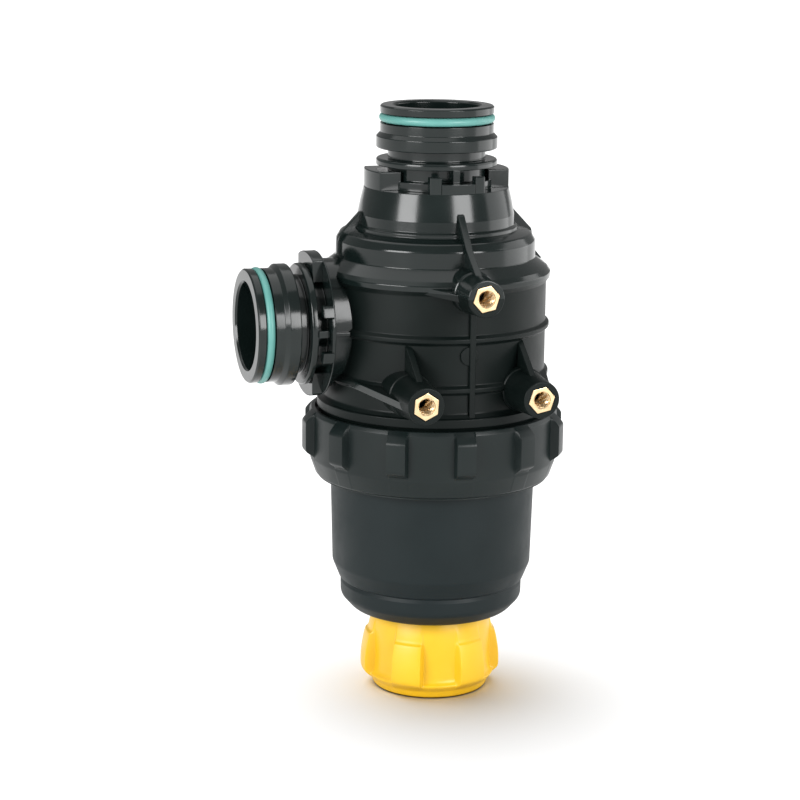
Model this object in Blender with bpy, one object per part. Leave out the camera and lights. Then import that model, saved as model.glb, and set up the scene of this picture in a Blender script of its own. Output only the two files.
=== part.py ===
"""Line strainer with two fork-coupling ports, a screwed-on bowl and a lobed drain cap.

Everything is built in metres, +Z up.  The filter axis is x = y = 0 and z = 0 is the flat
underside of the drain cap.  The side port points to -X and the mounting bosses to -Y.
Lengths below are millimetres until they are turned into vertices.
"""

import math

import bmesh
import bpy
from mathutils import Matrix, Vector

MM = 0.001

# ---- port nipples and their castellated crowns (heights run back from the end face) ----
TOP_FACE_Z = 276.8
SIDE_PORT_Z = 177.8
SIDE_FACE_X = -90.6
PORT_BORE_R = 20.0
NIPPLE_R = 26.1
RING_GROOVE_R = 22.6
RING_GROOVE_FROM, RING_GROOVE_TO = 3.6, 8.2
RING_CENTRE_DEPTH = 5.9
RING_CENTRE_R, RING_SECTION_R = 24.75, 1.88
COLLAR_R = 27.9
COLLAR_FROM, COLLAR_TO = 14.3, 19.6
FORK_GROOVE_R = 22.5
FORK_GROOVE_TO = 24.2
REAR_COLLAR_TO = 27.4
CROWN_R = 33.4
CROWN_WALL_R = 30.6
CROWN_BASE = 37.2
LOW_WALL_TOP, WINDOW_WALL_TOP = 34.4, 32.8
BLOCK_TOP, EAR_TOP = 30.0, 29.2
EAR_HALF_WIDTH = 11.4
BLOCK_FROM, BLOCK_TO = 7.4, 12.4
PIPE_R, PIPE_BORE_R = 30.2, 26.4

# ---- head ----
NECK_TOP_R, NECK_FOOT_R = 35.0, 36.5
DOME_R, DOME_FOOT_Z = 46.3, 207.6
BODY_R = 51.7
RIB_R = 53.3
RIB_HEIGHTS = (178.2, 155.2)
FLANGE_R, FLANGE_FROM, FLANGE_TO = 54.6, 136.9, 141.0
SKIRT_R, SKIRT_END = 54.0, 116.0
PAD_R, PAD_X, PAD_Z, PAD_FACE = 4.2, -3.4, 169.4, 52.5
CAVITY_R, SEAL_BORE_R = 47.6, 49.0
SPIGOT_R, SPIGOT_END = 23.6, 200.0

# ---- mounting bosses and inserts ----
BOSS_FACE_Y = -72.5
BOSS_FACE_R = 8.35
UPPER_BOSS_FOOT_R, UPPER_BOSS_FOOT_Y = 10.8, -58.0
LOWER_BOSS_FOOT_R, LOWER_BOSS_FOOT_Y = 12.0, -49.0
UPPER_BOSS_Z = 198.8
LOWER_BOSS_X, LOWER_BOSS_Z = 26.9, 152.2
INSERT_FLATS, INSERT_LENGTH, INSERT_HOLE_R = 11.0, 14.0, 3.5
INSERT_TURN = {"upper": 18.0, "lower_left": 4.0, "lower_right": 18.0}

# ---- ring nut ----
NUT_TOP, NUT_BOTTOM = 135.9, 103.8
NUT_R, NUT_BORE_R, NUT_LEDGE_R = 58.1, 54.4, 48.7
LUG_R, LUG_COUNT, LUG_PHASE = 62.1, 12, -3.0
LUG_HALF_WIDTH = 4.15

# ---- bowl ----
BOWL_R, BOWL_LOW_R = 48.0, 43.0
BOWL_BOTTOM = 38.6
BOWL_BORE_R, SUMP_BORE_R, BOWL_LEDGE_Z = 43.6, 39.6, 60.0
DRAIN_R, DRAIN_BORE_R, DRAIN_END = 22.5, 18.0, 8.0

# ---- drain cap ----
CAP_TOP, CAP_LOBE_R, CAP_BASE_R = 37.6, 33.2, 28.0
CAP_BORE_R, CAP_FLOOR = 22.9, 4.0
CAP_LOBES, CAP_PHASE, CAP_LOBE_HALF = 6, 21.5, 13.2

# ---- cartridge ----
CAGE_R, CAGE_INNER_R = 38.0, 35.4
CAGE_BOTTOM, CAGE_TOP = 66.5, 199.2
SCREEN_INNER_R, SCREEN_R = 38.3, 39.0

SMOOTH_STEPS = 40


def clear_scene():
    for item in list(bpy.data.objects):
        bpy.data.objects.remove(item, do_unlink=True)


def material(name, colour, roughness, metallic=0.0):
    surface = bpy.data.materials.new(name)
    surface.use_nodes = True
    shader = surface.node_tree.nodes["Principled BSDF"]
    shader.inputs["Base Color"].default_value = (*colour, 1.0)
    shader.inputs["Roughness"].default_value = roughness
    shader.inputs["Metallic"].default_value = metallic
    surface.diffuse_color = (*colour, 1.0)
    return surface


def object_from(name, mesh):
    bmesh.ops.recalc_face_normals(mesh, faces=mesh.faces)
    data = bpy.data.meshes.new(name)
    mesh.to_mesh(data)
    mesh.free()
    item = bpy.data.objects.new(name, data)
    bpy.context.scene.collection.objects.link(item)
    return item


def even_angles(steps, phase=0.0):
    return [math.radians(phase) + 2.0 * math.pi * step / steps for step in range(steps)]


def turned(name, profile_at, angles, closed):
    """Sweep a profile round +Z; a closed profile is a ring, an open one starts and ends on the axis."""
    mesh = bmesh.new()
    columns = []
    axis_points = {}
    for angle in angles:
        column = []
        for index, (radius, height) in enumerate(profile_at(angle)):
            if radius == 0.0:
                if index not in axis_points:
                    axis_points[index] = mesh.verts.new((0.0, 0.0, height * MM))
                column.append(axis_points[index])
            else:
                across = radius * math.sin(angle) * MM
                along = -radius * math.cos(angle) * MM
                column.append(mesh.verts.new((across, along, height * MM)))
        columns.append(column)
    count = len(columns[0])
    for step, here in enumerate(columns):
        there = columns[(step + 1) % len(columns)]
        for index in range(count if closed else count - 1):
            after = (index + 1) % count
            corners = []
            for corner in (here[index], there[index], there[after], here[after]):
                if corner not in corners:
                    corners.append(corner)
            if len(corners) > 2:
                mesh.faces.new(corners)
    return object_from(name, mesh)


def lathe(name, profile, steps=SMOOTH_STEPS, closed=False, phase=0.0):
    return turned(name, lambda angle: profile, even_angles(steps, phase), closed)


def round_ring(name, centre_r, section_r, height, steps=32, sides=6):
    section = []
    for side in range(sides):
        turn = 2.0 * math.pi * (side + 0.5) / sides
        radius = centre_r + section_r * math.cos(turn)
        section.append((radius, height + section_r * math.sin(turn)))
    return lathe(name, section, steps, closed=True)


def extruded(name, outline, depth):
    """A flat outline of (x, y, z) points pushed along depth, all in millimetres."""
    mesh = bmesh.new()
    near = [mesh.verts.new(Vector(point) * MM) for point in outline]
    far = [mesh.verts.new((Vector(point) + Vector(depth)) * MM) for point in outline]
    mesh.faces.new(near)
    mesh.faces.new(list(reversed(far)))
    for index in range(len(near)):
        after = (index + 1) % len(near)
        mesh.faces.new((near[after], near[index], far[index], far[after]))
    return object_from(name, mesh)


def block(name, low, high):
    corners = (
        (low[0], low[1], low[2]),
        (high[0], low[1], low[2]),
        (high[0], high[1], low[2]),
        (low[0], high[1], low[2]),
    )
    return extruded(name, corners, (0.0, 0.0, high[2] - low[2]))


def web_in_x(name, outline, x_centre, thickness):
    """A plate standing in the YZ plane; outline holds (y, z) points."""
    points = [(x_centre - thickness / 2.0, y, z) for y, z in outline]
    return extruded(name, points, (thickness, 0.0, 0.0))


def web_in_y(name, outline, thickness):
    """A plate standing in the XZ plane; outline holds (x, z) points."""
    points = [(x, -thickness / 2.0, z) for x, z in outline]
    return extruded(name, points, (0.0, thickness, 0.0))


def placed(item, matrix):
    item.data.transform(matrix)
    return item


def combine(target, others, operation):
    """Join or cut the other solids into the target and remove them."""
    for other in others:
        change = target.modifiers.new(other.name, "BOOLEAN")
        change.operation = operation
        change.solver = "EXACT"
        change.object = other
    bpy.context.view_layer.update()
    graph = bpy.context.evaluated_depsgraph_get()
    result = bpy.data.meshes.new_from_object(target.evaluated_get(graph))
    target.modifiers.clear()
    target.data = result
    for other in others:
        bpy.data.objects.remove(other, do_unlink=True)
    return target


def move_origin(item, origin):
    """Put the object's origin at a point given in millimetres without moving its surface."""
    offset = Vector(origin) * MM
    item.data.transform(Matrix.Translation(-offset))
    item.location = offset
    return item


def finished(item, surface):
    item.data.materials.clear()
    item.data.materials.append(surface)
    return item


# A port's own frame: its axis is +Z, its end face is at height 0 and its ears lie along X.
TOP_PORT = Matrix.Translation((0.0, 0.0, TOP_FACE_Z * MM))
SIDE_PORT = (
    Matrix.Translation((SIDE_FACE_X * MM, 0.0, SIDE_PORT_Z * MM))
    @ Matrix.Rotation(math.radians(-90.0), 4, "Y")
)


def nipple_profile():
    """Outer outline of a port from its end face back to the floor of the crown."""
    return [
        (25.5, 0.0),
        (26.2, -0.7),
        (NIPPLE_R, -RING_GROOVE_FROM),
        (RING_GROOVE_R, -RING_GROOVE_FROM),
        (RING_GROOVE_R, -RING_GROOVE_TO),
        (NIPPLE_R, -RING_GROOVE_TO),
        (NIPPLE_R, 1.9 - COLLAR_FROM),
        (COLLAR_R, -COLLAR_FROM),
        (COLLAR_R, -COLLAR_TO),
        (FORK_GROOVE_R, -COLLAR_TO),
        (FORK_GROOVE_R, -FORK_GROOVE_TO),
        (27.1, -FORK_GROOVE_TO),
        (COLLAR_R, -FORK_GROOVE_TO - 0.8),
        (COLLAR_R, -REAR_COLLAR_TO),
        (FORK_GROOVE_R, -REAR_COLLAR_TO),
        (FORK_GROOVE_R, -CROWN_BASE),
        (CROWN_WALL_R, -CROWN_BASE),
        (CROWN_WALL_R, -LOW_WALL_TOP),
        (CROWN_R, -LOW_WALL_TOP),
    ]


def outer_arc(x_from, x_to, pieces):
    """Points just inside the crown's outer circle, on the -Y side, between two x positions."""
    radius = CROWN_R - 0.2
    start = math.asin(x_from / radius)
    end = math.asin(x_to / radius)
    points = []
    for step in range(pieces + 1):
        turn = start + (end - start) * step / pieces
        points.append((radius * math.sin(turn), -radius * math.cos(turn)))
    return points


def crown_pieces(label):
    """Window walls, guard blocks, ears and window ribs of one crown."""
    pieces = []
    for quarter in (0, 2):
        turn = Matrix.Rotation(math.radians(90.0 * quarter), 4, "Z")
        window = [(-BLOCK_FROM - 0.5, -CROWN_WALL_R + 0.4)]
        window += outer_arc(-BLOCK_FROM - 0.5, BLOCK_FROM + 0.5, 3)
        window += [(BLOCK_FROM + 0.5, -CROWN_WALL_R + 0.4)]
        floor = -CROWN_BASE - 1.0
        outline = [(x, y, floor) for x, y in window]
        part = extruded(f"{label}_window_{quarter}", outline, (0.0, 0.0, -WINDOW_WALL_TOP - floor))
        pieces.append(placed(part, turn))
        for side in (-1.0, 1.0):
            inner, outer = side * BLOCK_FROM, side * BLOCK_TO
            plan = [(inner, -27.0)] + outer_arc(inner, outer, 1) + [(outer, -27.0)]
            outline = [(x, y, floor) for x, y in plan]
            part = extruded(f"{label}_block_{quarter}_{side}", outline, (0.0, 0.0, -BLOCK_TOP - floor))
            pieces.append(placed(part, turn))
        rib = block(f"{label}_rib_{quarter}", (-1.6, -29.3, floor), (1.6, -21.0, -REAR_COLLAR_TO + 0.4))
        pieces.append(placed(rib, turn))
        ear_plan = [(-EAR_HALF_WIDTH, -20.8)]
        ear_plan += outer_arc(-EAR_HALF_WIDTH, EAR_HALF_WIDTH, 4)
        ear_plan += [(EAR_HALF_WIDTH, -20.8)]
        outline = [(x, y, floor) for x, y in ear_plan]
        ear = extruded(f"{label}_ear_{quarter}", outline, (0.0, 0.0, -EAR_TOP - floor))
        pieces.append(placed(ear, turn @ Matrix.Rotation(math.radians(90.0), 4, "Z")))
    return pieces


def rib_points(height):
    return [
        (BODY_R, height + 2.7),
        (RIB_R, height + 1.0),
        (RIB_R, height - 1.2),
        (BODY_R, height - 2.8),
    ]


def head_outer_profile():
    points = [(0.0, TOP_FACE_Z)]
    points += [(radius, TOP_FACE_Z + height) for radius, height in nipple_profile()]
    points += [
        (33.5, 239.2),
        (NECK_TOP_R, 233.2),
        (NECK_FOOT_R, 222.6),
        (37.8, 221.9),
        (37.8, 220.4),
        (43.6, 218.6),
        (45.6, 217.0),
        (46.2, 214.4),
        (DOME_R, DOME_FOOT_Z),
        (52.2, 203.0),
        (53.5, 201.4),
        (53.4, 199.0),
        (BODY_R, 196.8),
    ]
    points += rib_points(RIB_HEIGHTS[0])
    points += rib_points(RIB_HEIGHTS[1])
    points += [
        (52.0, 142.4),
        (FLANGE_R, FLANGE_TO),
        (FLANGE_R, FLANGE_FROM),
        (SKIRT_R, FLANGE_FROM),
        (SKIRT_R, SKIRT_END + 1.0),
        (SKIRT_R - 0.9, SKIRT_END),
        (0.0, SKIRT_END),
    ]
    return points


def head_inner_profile():
    """Outlet bore, outlet spigot, cored-out neck, cavity and the bore that the bowl seals in."""
    return [
        (0.0, TOP_FACE_Z + 1.0),
        (21.6, TOP_FACE_Z + 1.0),
        (PORT_BORE_R, TOP_FACE_Z - 0.8),
        (PORT_BORE_R, SPIGOT_END - 1.0),
        (SPIGOT_R, SPIGOT_END - 1.0),
        (SPIGOT_R, 235.0),
        (30.6, 235.0),
        (32.0, 217.0),
        (42.2, 213.0),
        (42.6, 206.0),
        (CAVITY_R, 200.0),
        (CAVITY_R, 129.0),
        (SEAL_BORE_R, 127.6),
        (SEAL_BORE_R, SKIRT_END - 1.0),
        (0.0, SKIRT_END - 1.0),
    ]


def boss(label, x, z):
    """One tapered boss on its stepped foot, pointing to -Y."""
    foot_r, foot_y = UPPER_BOSS_FOOT_R, UPPER_BOSS_FOOT_Y
    root = 49.0
    if x != 0.0:
        foot_r, foot_y = LOWER_BOSS_FOOT_R, LOWER_BOSS_FOOT_Y
        root = 40.5
    profile = [
        (0.0, -BOSS_FACE_Y),
        (BOSS_FACE_R - 0.5, -BOSS_FACE_Y),
        (BOSS_FACE_R, -BOSS_FACE_Y - 0.5),
        (foot_r, -foot_y),
        (foot_r + 0.9, -foot_y - 0.8),
        (foot_r + 1.2, root),
        (0.0, root),
    ]
    item = lathe(label, profile, 20)
    to_front = Matrix.Rotation(math.radians(90.0), 4, "X")
    return placed(item, Matrix.Translation((x * MM, 0.0, z * MM)) @ to_front)


def hexagon(flats, turn_degrees, x, z, y):
    """Corners of a hexagon facing -Y, turned clockwise from one corner straight up."""
    corner_r = flats / math.sqrt(3.0)
    points = []
    for side in range(6):
        turn = math.radians(turn_degrees + 60.0 * side)
        points.append((x + corner_r * math.sin(turn), y, z + corner_r * math.cos(turn)))
    return points


BOSSES = {
    "upper": (0.0, UPPER_BOSS_Z),
    "lower_left": (-LOWER_BOSS_X, LOWER_BOSS_Z),
    "lower_right": (LOWER_BOSS_X, LOWER_BOSS_Z),
}


def webbed_boss(label):
    """A boss joined to the web that braces it, with the hexagonal pocket for its insert."""
    x, z = BOSSES[label]
    item = boss("boss_" + label, x, z)
    if label == "upper":
        outline = [(-34.5, 231.2), (-36.6, 230.6), (-48.2, 217.2), (-63.0, 206.8), (-69.5, 204.0)]
        outline += [(-58.0, 199.0), (-45.0, 205.0), (-34.5, 216.0)]
        web = web_in_x("web_" + label, outline, 0.0, 3.2)
    else:
        outline = [(-42.6, 174.5), (-44.8, 173.6), (-65.0, 158.6), (-56.0, 152.4), (-42.6, 152.4)]
        web = web_in_x("web_" + label, outline, x * 0.985, 3.0)
    combine(item, [web], "UNION")
    outline = hexagon(INSERT_FLATS + 0.6, INSERT_TURN[label], x, z, BOSS_FACE_Y - 1.0)
    pocket = extruded("pocket_" + label, outline, (0.0, INSERT_LENGTH + 1.4, 0.0))
    return combine(item, [pocket], "DIFFERENCE")


def build_head(surface):
    head = lathe("filter_head", head_outer_profile())
    side = nipple_profile()
    side += [
        (CROWN_R, -CROWN_BASE - 0.4),
        (PIPE_R, -CROWN_BASE - 1.6),
        (PIPE_R, -52.0),
        (0.0, -52.0),
    ]
    additions = [placed(lathe("side_port", [(0.0, 0.0)] + side, 32), SIDE_PORT)]
    additions += [placed(piece, TOP_PORT) for piece in crown_pieces("top")]
    additions += [placed(piece, SIDE_PORT) for piece in crown_pieces("side")]
    shoulder_web = [(34.0, 229.6), (37.2, 228.4), (46.7, 218.4), (47.6, 215.0), (47.6, 209.5)]
    foot_web = [(51.0, 205.6), (52.4, 204.0), (45.0, 203.0), (34.0, 218.0)]
    for side_sign in (-1.0, 1.0):
        outline = [(side_sign * x, z) for x, z in shoulder_web + foot_web]
        additions.append(web_in_y(f"dome_web_{side_sign}", outline, 3.0))
    outline = [(34.5, 231.0), (37.4, 229.0), (47.4, 217.6), (48.8, 208.0), (45.0, 205.5), (34.5, 216.0)]
    additions.append(web_in_x("rear_web", outline, 0.0, 3.0))
    additions += [webbed_boss(label) for label in BOSSES]
    additions.append(block("front_rib", (-1.4, -53.4, 137.6), (1.4, -50.6, 191.0)))
    additions.append(block("rear_rib", (-1.4, 50.6, 137.6), (1.4, 53.0, 199.0)))
    additions.append(block("pipe_rib", (-54.0, -32.6, 176.0), (-38.0, -28.0, 178.9)))
    pad = lathe("gate_pad", [(0.0, PAD_FACE), (PAD_R, PAD_FACE), (PAD_R, 49.0), (0.0, 49.0)], 16)
    to_front = Matrix.Rotation(math.radians(90.0), 4, "X")
    additions.append(placed(pad, Matrix.Translation((PAD_X * MM, 0.0, PAD_Z * MM)) @ to_front))
    combine(head, additions, "UNION")
    cuts = [lathe("inside", head_inner_profile(), phase=180.0 / SMOOTH_STEPS)]
    side_bore = [
        (0.0, 1.0),
        (21.6, 1.0),
        (PORT_BORE_R, -0.8),
        (PORT_BORE_R, -41.0),
        (PIPE_BORE_R, -45.0),
        (PIPE_BORE_R, -58.0),
        (0.0, -58.0),
    ]
    cuts.append(placed(lathe("side_bore", side_bore, 32, phase=5.6), SIDE_PORT))
    combine(head, cuts, "DIFFERENCE")
    return finished(head, surface)


def build_insert(label, surface):
    x, z = BOSSES[label]
    outline = hexagon(INSERT_FLATS, INSERT_TURN[label], x, z, BOSS_FACE_Y - 0.2)
    insert = extruded("insert_" + label, outline, (0.0, INSERT_LENGTH, 0.0))
    hole = [
        (0.0, 2.0 - BOSS_FACE_Y),
        (5.1, 2.0 - BOSS_FACE_Y),
        (INSERT_HOLE_R, 0.0 - BOSS_FACE_Y - 0.4),
        (INSERT_HOLE_R, -BOSS_FACE_Y - INSERT_LENGTH - 1.0),
        (0.0, -BOSS_FACE_Y - INSERT_LENGTH - 1.0),
    ]
    drill = lathe("drill", hole, 16)
    to_front = Matrix.Rotation(math.radians(90.0), 4, "X")
    placed(drill, Matrix.Translation((x * MM, 0.0, z * MM)) @ to_front)
    combine(insert, [drill], "DIFFERENCE")
    return finished(insert, surface)


def build_ring_nut(surface):
    period = 360.0 / LUG_COUNT
    angles = []
    for lug in range(LUG_COUNT):
        for offset in (-4.9, -4.0, 4.0, 4.9, 10.0, 20.0):
            angles.append(math.radians(LUG_PHASE + lug * period + offset))

    def profile_at(angle):
        offset = (math.degrees(angle) - LUG_PHASE + period / 2.0) % period - period / 2.0
        raised = abs(offset) < 4.5
        lug_r = LUG_R if raised else NUT_R
        shoulder_r = 60.0 if raised else NUT_R
        return [
            (NUT_BORE_R, NUT_TOP),
            (57.1, NUT_TOP),
            (shoulder_r, NUT_TOP - 1.6),
            (lug_r, 130.6),
            (lug_r, 117.4),
            (NUT_R, 114.2),
            (NUT_R, 113.0),
            (55.1, 104.8),
            (54.1, NUT_BOTTOM),
            (NUT_LEDGE_R, NUT_BOTTOM),
            (NUT_LEDGE_R, 107.4),
            (NUT_BORE_R, 107.4),
        ]

    nut = turned("ring_nut", profile_at, angles, closed=True)
    return finished(move_origin(nut, (0.0, 0.0, 120.0)), surface)


def build_bowl(surface):
    outer = [
        (43.6, 126.5),
        (48.0, 126.5),
        (48.6, 125.9),
        (48.6, 122.9),
        (45.9, 122.9),
        (45.9, 119.5),
        (48.6, 119.5),
        (48.6, 115.5),
        (54.0, 115.5),
        (54.0, 107.8),
        (BOWL_R, 107.8),
        (BOWL_R - 0.1, 97.0),
        (46.9, 62.9),
        (45.4, 57.9),
        (43.4, 53.0),
        (BOWL_LOW_R, 51.5),
        (BOWL_LOW_R, 47.0),
        (42.0, 43.6),
        (39.6, 40.6),
        (36.2, BOWL_BOTTOM),
        (DRAIN_R, BOWL_BOTTOM),
        (DRAIN_R, DRAIN_END + 0.6),
        (DRAIN_R - 0.6, DRAIN_END),
        (DRAIN_BORE_R, DRAIN_END),
    ]
    inner = [
        (DRAIN_BORE_R, 42.4),
        (35.6, 43.2),
        (SUMP_BORE_R, 47.4),
        (SUMP_BORE_R, BOWL_LEDGE_Z),
        (BOWL_BORE_R, BOWL_LEDGE_Z + 1.0),
    ]
    return finished(lathe("bowl", outer + inner, 36, closed=True), surface)


def cap_outline(raised):
    """Outer radii of the drain cap from the top edge down, on a lobe or in a recess."""
    heights = (CAP_TOP, 33.5, 29.7, 25.7, 20.7, 15.8, 9.5, 7.6, 3.6, 1.0, 0.0)
    lobe = (27.0, 28.2, 29.2, 30.7, 32.2, 33.0, CAP_LOBE_R, 33.0, 31.4, 28.9, CAP_BASE_R)
    recess = (27.0, 28.1, 28.9, 28.8, 28.7, 28.8, 29.7, 31.0, 30.4, 28.9, CAP_BASE_R)
    return list(zip(lobe if raised else recess, heights))


def build_drain_cap(surface):
    period = 360.0 / CAP_LOBES
    angles = []
    for lobe in range(CAP_LOBES):
        for offset in (-15.6, -13.2, 0.0, 13.2, 15.6, 25.0, 35.0):
            angles.append(math.radians(CAP_PHASE + lobe * period + offset))

    def profile_at(angle):
        offset = (math.degrees(angle) - CAP_PHASE + period / 2.0) % period - period / 2.0
        outline = cap_outline(abs(offset) < CAP_LOBE_HALF + 0.5)
        inside = [(0.0, CAP_FLOOR), (CAP_BORE_R, CAP_FLOOR), (CAP_BORE_R, CAP_TOP - 1.0), (24.0, CAP_TOP)]
        return inside + outline + [(0.0, 0.0)]

    cap = turned("drain_cap", profile_at, angles, closed=False)
    return finished(move_origin(cap, (0.0, 0.0, 0.0)), surface)


def build_cage(surface):
    tube = [
        (CAGE_INNER_R, CAGE_BOTTOM),
        (CAGE_R, CAGE_BOTTOM),
        (CAGE_R, CAGE_TOP),
        (CAGE_INNER_R, CAGE_TOP),
    ]
    cage = lathe("cartridge_cage", tube, 24, closed=True)
    windows = []
    rows = 4
    pitch = (CAGE_TOP - CAGE_BOTTOM - 4.0) / rows
    for row in range(rows):
        low = CAGE_BOTTOM + 4.0 + row * pitch
        for turn in range(4):
            part = block(f"window_{row}_{turn}", (-11.6, -45.0, low), (11.6, 45.0, low + pitch - 4.0))
            windows.append(placed(part, Matrix.Rotation(math.radians(45.0 * turn), 4, "Z")))
    combine(cage, windows, "DIFFERENCE")
    return finished(cage, surface)


def build_screen(surface):
    tube = [
        (SCREEN_INNER_R, CAGE_BOTTOM + 0.2),
        (SCREEN_R, CAGE_BOTTOM + 0.2),
        (SCREEN_R, CAGE_TOP - 0.2),
        (SCREEN_INNER_R, CAGE_TOP - 0.2),
    ]
    return finished(lathe("cartridge_screen", tube, 32, closed=True), surface)


def build_top_collar(surface):
    profile = [
        (24.3, 199.6),
        (24.3, 202.9),
        (27.3, 202.9),
        (27.3, 206.5),
        (24.3, 206.5),
        (24.3, 209.4),
        (29.6, 209.4),
        (30.4, 204.6),
        (40.6, 204.0),
        (41.2, 203.2),
        (41.2, 193.0),
        (39.4, 193.0),
        (39.4, 199.6),
    ]
    return finished(lathe("cartridge_top_collar", profile, 32, closed=True), surface)


def build_bottom_cap(surface):
    profile = [
        (0.0, 63.0),
        (26.0, 61.0),
        (40.2, 61.0),
        (41.2, 62.0),
        (41.2, 72.0),
        (39.4, 72.0),
        (39.4, 66.1),
        (0.0, 66.1),
    ]
    cap = lathe("cartridge_bottom_cap", profile, 32)
    feet = []
    for foot in range(6):
        item = block(f"foot_{foot}", (-3.0, -43.1, 61.4), (3.0, -40.4, 67.0))
        feet.append(placed(item, Matrix.Rotation(math.radians(60.0 * foot), 4, "Z")))
    combine(cap, feet, "UNION")
    return finished(cap, surface)


def build_all():
    clear_scene()
    build_head(material("black_moulding", (0.012, 0.017, 0.017), 0.22))
    for label in BOSSES:
        build_insert(label, material("brass_" + label, (0.75, 0.53, 0.20), 0.28, 1.0))
    top_ring = round_ring("top_port_o_ring", RING_CENTRE_R, RING_SECTION_R, -RING_CENTRE_DEPTH)
    finished(placed(top_ring, TOP_PORT), material("top_ring_rubber", (0.20, 0.60, 0.51), 0.45))
    side_ring = round_ring("side_port_o_ring", RING_CENTRE_R, RING_SECTION_R, -RING_CENTRE_DEPTH)
    finished(placed(side_ring, SIDE_PORT), material("side_ring_rubber", (0.20, 0.60, 0.51), 0.45))
    build_ring_nut(material("nut_moulding", (0.026, 0.036, 0.036), 0.42))
    build_bowl(material("bowl_moulding", (0.036, 0.047, 0.050), 0.62))
    bowl_ring = round_ring("bowl_o_ring", 47.45, 1.2, 121.2)
    finished(bowl_ring, material("bowl_ring_rubber", (0.010, 0.010, 0.010), 0.55))
    build_drain_cap(material("yellow_moulding", (0.95, 0.62, 0.010), 0.42))
    gasket = [(18.4, 4.4), (22.3, 4.4), (22.3, 7.6), (18.4, 7.6)]
    gasket_ring = lathe("drain_cap_gasket", gasket, 32, closed=True)
    finished(gasket_ring, material("cap_gasket_rubber", (0.012, 0.012, 0.012), 0.6))
    build_cage(material("cage_moulding", (0.09, 0.20, 0.42), 0.45))
    build_screen(material("stainless_mesh", (0.58, 0.58, 0.57), 0.35, 1.0))
    build_top_collar(material("collar_moulding", (0.09, 0.20, 0.42), 0.45))
    build_bottom_cap(material("end_moulding", (0.09, 0.20, 0.42), 0.45))
    seal = round_ring("cartridge_top_gasket", 25.45, 1.45, 204.7)
    finished(seal, material("cartridge_gasket_rubber", (0.012, 0.012, 0.012), 0.6))


build_all()
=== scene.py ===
"""The line strainer as a finished product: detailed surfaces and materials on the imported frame.

Lengths are in millimetres, and heights count from the drain cap's underside. Places come from the CAD
boxes. Profiles are (radius, height) points; a third number is the fillet at that corner.
"""

import math

import bmesh
import bpy
from mathutils import Matrix, Vector


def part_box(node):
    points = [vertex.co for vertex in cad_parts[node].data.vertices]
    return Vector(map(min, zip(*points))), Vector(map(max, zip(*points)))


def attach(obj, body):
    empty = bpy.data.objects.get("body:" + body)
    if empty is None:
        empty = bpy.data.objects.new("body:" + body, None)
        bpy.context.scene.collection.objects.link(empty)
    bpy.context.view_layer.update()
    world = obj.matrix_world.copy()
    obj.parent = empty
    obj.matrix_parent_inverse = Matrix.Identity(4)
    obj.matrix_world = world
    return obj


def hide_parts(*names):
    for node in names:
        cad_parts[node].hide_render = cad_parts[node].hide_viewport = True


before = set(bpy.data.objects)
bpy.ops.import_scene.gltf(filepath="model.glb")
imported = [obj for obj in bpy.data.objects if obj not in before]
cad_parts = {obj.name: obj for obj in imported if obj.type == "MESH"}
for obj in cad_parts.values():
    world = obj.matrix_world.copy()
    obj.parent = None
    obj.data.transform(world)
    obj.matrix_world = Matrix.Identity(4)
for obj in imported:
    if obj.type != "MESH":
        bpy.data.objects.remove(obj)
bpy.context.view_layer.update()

MM = 0.001


def box_mm(node):
    """A CAD node's lowest and highest corner in millimetres."""
    low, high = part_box(node)
    return [value / MM for value in low], [value / MM for value in high]


def middle(node):
    low, high = box_mm(node)
    return [(a + b) / 2.0 for a, b in zip(low, high)]


HEAD_LOW, HEAD_HIGH = box_mm("filter_head")
TOP_FACE_Z = HEAD_HIGH[2]
SIDE_FACE_X = HEAD_LOW[0]
SIDE_PORT_Z = middle("side_port_o_ring")[2]
NUT_LOW, NUT_HIGH = box_mm("ring_nut")
INSERT_NODES = ("insert_upper", "insert_lower_left", "insert_lower_right")
INSERT_PLACES = {node: middle(node) for node in INSERT_NODES}
INSERT_PROUD = 0.2
INSERT_FACE_Y = box_mm("insert_upper")[0][1]
BOSS_FACE_Y = INSERT_FACE_Y + INSERT_PROUD

AROUND = 192
NUT_THREAD_PITCH, CAP_THREAD_PITCH, INSERT_THREAD_PITCH = 5.0, 4.0, 1.25


# ------------------------------------------------------------------ mesh helpers


def linked(name, mesh_data):
    item = bpy.data.objects.new(name, mesh_data)
    bpy.context.scene.collection.objects.link(item)
    return item


def object_from(name, mesh):
    bmesh.ops.recalc_face_normals(mesh, faces=mesh.faces)
    data = bpy.data.meshes.new(name)
    mesh.to_mesh(data)
    mesh.free()
    return linked(name, data)


def even_angles(steps):
    return [2.0 * math.pi * step / steps for step in range(steps)]


def turned(name, profile_at, angles, closed):
    """Sweep profile_at(angle) round +Z; angle 0 is -Y and angles run towards +X."""
    mesh = bmesh.new()
    columns = []
    axis_points = {}
    for angle in angles:
        column = []
        for index, (radius, height) in enumerate(profile_at(angle)):
            if radius == 0.0:
                if index not in axis_points:
                    axis_points[index] = mesh.verts.new((0.0, 0.0, height * MM))
                column.append(axis_points[index])
            else:
                across = radius * math.sin(angle) * MM
                along = -radius * math.cos(angle) * MM
                column.append(mesh.verts.new((across, along, height * MM)))
        columns.append(column)
    count = len(columns[0])
    for step, here in enumerate(columns):
        there = columns[(step + 1) % len(columns)]
        for index in range(count if closed else count - 1):
            after = (index + 1) % count
            corners = []
            for corner in (here[index], there[index], there[after], here[after]):
                if corner not in corners:
                    corners.append(corner)
            if len(corners) > 2:
                mesh.faces.new(corners)
    return object_from(name, mesh)


def lathe(name, profile, steps=AROUND, closed=False):
    return turned(name, lambda angle: profile, even_angles(steps), closed)


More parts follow.
